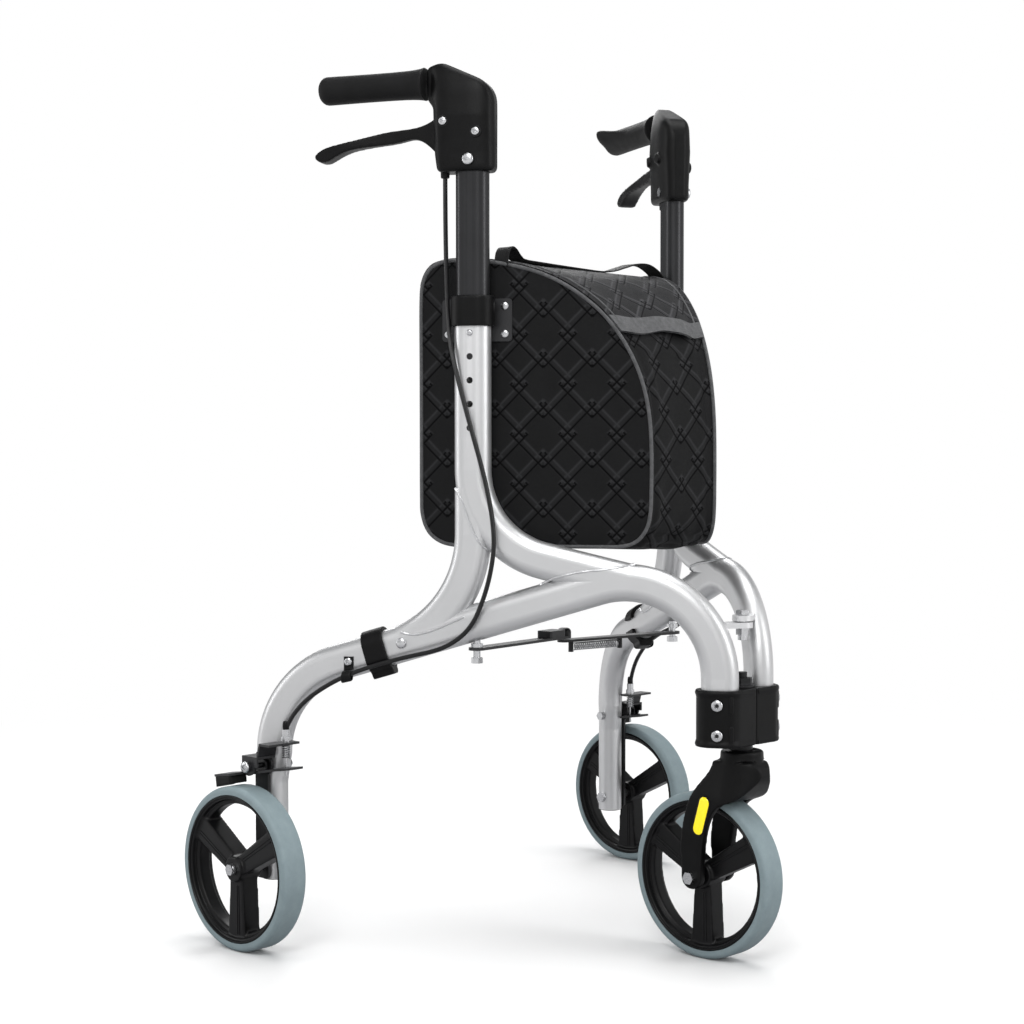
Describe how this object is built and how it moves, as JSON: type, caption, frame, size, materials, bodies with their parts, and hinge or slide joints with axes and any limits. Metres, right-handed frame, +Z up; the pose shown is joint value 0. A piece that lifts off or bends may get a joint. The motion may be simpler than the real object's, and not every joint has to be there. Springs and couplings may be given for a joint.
{
  "type": "rollator walker",
  "caption": "Folding wheeled walking frame with a swivelling front caster, height-adjustable handles, lever brakes and a fabric storage bag.",
  "frame": {"origin": "on the floor at the centre of the bounding box", "axes": "+X towards the front caster, +Y to the user's left, +Z up"},
  "size_m": [0.5694, 0.692, 0.9594],
  "materials": {
    "silver_tube": "satin silver lacquer",
    "silver_steel": "satin",
    "zinc_steel": "bright zinc plate",
    "black_steel": "semi-matt black powder coat",
    "black_tube": "satin black anodised",
    "black_plastic": "fine-grained moulding",
    "black_rubber": "soft matt",
    "grey_tyre": "smooth matt",
    "bag_fabric": "embossed woven polyester"
  },
  "bodies": {
    "frame_right": {"arch_tube_right": "silver_tube", "upright_tube_right": "silver_tube", "rear_strut_right": "silver_tube", "collar_right": "black_plastic", "hinge_block_right": "black_plastic", "frame_bolts_right": "zinc_steel", "hinge_lug_right": "silver_steel", "bag_plate_right": "zinc_steel", "bag_panel_right": "bag_fabric", "brake_bracket_right": "black_steel", "cable_adjuster_right": "zinc_steel", "brake_spring_right": "zinc_steel", "fold_clip_right": "black_plastic", "brake_cable_right": "black_rubber", "bag_gusset": "bag_fabric", "lug_bolt": "zinc_steel"},
    "post_right": {"post_tube_right": "black_tube", "housing_right": "black_plastic", "housing_bolts_right": "zinc_steel", "grip_right": "black_rubber"},
    "button_right": {"snap_button_right": "zinc_steel"},
    "lever_right": {"brake_lever_right": "black_plastic"},
    "brake_right": {"brake_arm_right": "black_steel", "brake_shoe_right": "black_rubber"},
    "rear_wheel_right": {"rear_tyre_right": "grey_tyre", "rear_rim_right": "black_plastic"},
    "brace_right": {"brace_bar_right": "black_steel"},
    "frame_left": {"arch_tube_left": "silver_tube", "upright_tube_left": "silver_tube", "rear_strut_left": "silver_tube", "collar_left": "black_plastic", "hinge_block_left": "black_plastic", "frame_bolts_left": "zinc_steel", "hinge_lug_left": "silver_steel", "bag_plate_left": "zinc_steel", "bag_panel_left": "bag_fabric", "brake_bracket_left": "black_steel", "cable_adjuster_left": "zinc_steel", "brake_spring_left": "zinc_steel", "fold_clip_left": "black_plastic", "brake_cable_left": "black_rubber"},
    "post_left": {"post_tube_left": "black_tube", "housing_left": "black_plastic", "housing_bolts_left": "zinc_steel", "grip_left": "black_rubber"},
    "button_left": {"snap_button_left": "zinc_steel"},
    "lever_left": {"brake_lever_left": "black_plastic"},
    "brake_left": {"brake_arm_left": "black_steel", "brake_shoe_left": "black_rubber"},
    "rear_wheel_left": {"rear_tyre_left": "grey_tyre", "rear_rim_left": "black_plastic"},
    "brace_left": {"brace_bar_left": "black_steel", "brace_spring": "zinc_steel"},
    "caster": {"caster_fork": "black_plastic", "caster_stem": "black_steel", "front_axle": "zinc_steel"},
    "front_wheel": {"front_tyre": "grey_tyre", "front_rim": "black_plastic"}
  },
  "joints": [
    {"name": "fold", "type": "hinge", "parent": "frame_right", "child": "frame_left", "pos_m": [0.2395, 0, 0.3], "axis": [0, 0, 1], "range_deg": [0, 44], "deforming": ["bag_gusset"]},
    {"name": "caster_swivel", "type": "hinge", "parent": "frame_right", "child": "caster", "pos_m": [0.2395, 0, 0.2], "axis": [0, 0, 1], "continuous": true},
    {"name": "front_wheel_spin", "type": "hinge", "parent": "caster", "child": "front_wheel", "pos_m": [0.1947, 0, 0.09], "axis": [0, 1, 0], "continuous": true},
    {"name": "rear_wheel_spin_right", "type": "hinge", "parent": "frame_right", "child": "rear_wheel_right", "pos_m": [-0.19473, -0.3256, 0.09], "axis": [0, 1, 0], "continuous": true},
    {"name": "post_slide_right", "type": "slide", "parent": "frame_right", "child": "post_right", "axis": [0, 0, 1], "range_m": [-0.1016, 0], "deforming": ["brake_cable_right", "snap_button_right"]},
    {"name": "button_right", "type": "slide", "parent": "post_right", "child": "button_right", "axis": [-0.5, 0.866, 0], "range_m": [0, 0.0045], "stiffness_N_per_m": 900},
    {"name": "lever_right", "type": "hinge", "parent": "post_right", "child": "lever_right", "pos_m": [-0.02066, -0.18138, 0.896], "axis": [-0.5, 0.866, 0], "range_deg": [0, 15], "stiffness_Nm_per_rad": 1.2},
    {"name": "brake_arm_right", "type": "hinge", "parent": "frame_right", "child": "brake_right", "pos_m": [-0.1895, -0.31, 0.201], "axis": [0, -1, 0], "range_deg": [0, 2.5], "stiffness_Nm_per_rad": 0.8, "deforming": ["brake_spring_right"]},
    {"name": "brace_right", "type": "hinge", "parent": "frame_right", "child": "brace_right", "pos_m": [0.00705, -0.16538, 0.331], "axis": [0, 0, 1], "range_deg": [0, 82]},
    {"name": "rear_wheel_spin_left", "type": "hinge", "parent": "frame_left", "child": "rear_wheel_left", "pos_m": [-0.19473, 0.3256, 0.09], "axis": [0, 1, 0], "continuous": true},
    {"name": "post_slide_left", "type": "slide", "parent": "frame_left", "child": "post_left", "axis": [0, 0, 1], "range_m": [-0.1016, 0], "deforming": ["brake_cable_left", "snap_button_left"]},
    {"name": "button_left", "type": "slide", "parent": "post_left", "child": "button_left", "axis": [-0.5, -0.866, 0], "range_m": [0, 0.0045], "stiffness_N_per_m": 900},
    {"name": "lever_left", "type": "hinge", "parent": "post_left", "child": "lever_left", "pos_m": [-0.02066, 0.18138, 0.896], "axis": [0.5, 0.866, 0], "range_deg": [0, 15], "stiffness_Nm_per_rad": 1.2},
    {"name": "brake_arm_left", "type": "hinge", "parent": "frame_left", "child": "brake_left", "pos_m": [-0.1895, 0.31, 0.201], "axis": [0, -1, 0], "range_deg": [0, 2.5], "stiffness_Nm_per_rad": 0.8, "deforming": ["brake_spring_left"]},
    {"name": "brace_left", "type": "hinge", "parent": "frame_left", "child": "brace_left", "pos_m": [0.00705, 0.16538, 0.331], "axis": [0, 0, 1], "range_deg": [-82, 0]}
  ],
  "couplings": [
    {"joint": "brace_right", "follows": "fold", "ratio": 1.8205},
    {"joint": "brace_left", "follows": "fold", "ratio": -1.8205},
    {"joint": "brake_arm_right", "follows": "lever_right", "ratio": 0.1666},
    {"joint": "brake_arm_left", "follows": "lever_left", "ratio": 0.1666}
  ]
}
